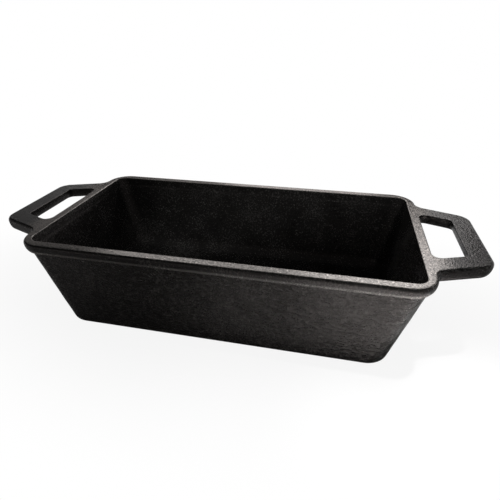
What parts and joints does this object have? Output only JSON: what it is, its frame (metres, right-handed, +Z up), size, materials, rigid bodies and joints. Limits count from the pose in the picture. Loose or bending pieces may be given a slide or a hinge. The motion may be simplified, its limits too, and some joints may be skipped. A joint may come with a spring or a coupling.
{
  "type": "cast iron loaf pan",
  "caption": "Deep rectangular cast iron loaf pan with drafted walls, a flat rim and a tapered loop handle at each end, for baking bread and meat loaves.",
  "frame": {"origin": "middle of the flat base, on the surface that the pan stands on", "axes": "+Z up out of the mouth, +X along the pan towards the right handle, -Y towards the front long wall"},
  "size_m": [0.3366, 0.141, 0.068],
  "materials": {
    "seasoned_iron": "black seasoned, satin, fine sand-cast grain"
  },
  "bodies": {
    "root": {"pan_floor": "seasoned_iron", "pan_walls": "seasoned_iron", "rim": "seasoned_iron", "left_handle": "seasoned_iron", "right_handle": "seasoned_iron"}
  },
  "joints": []
}
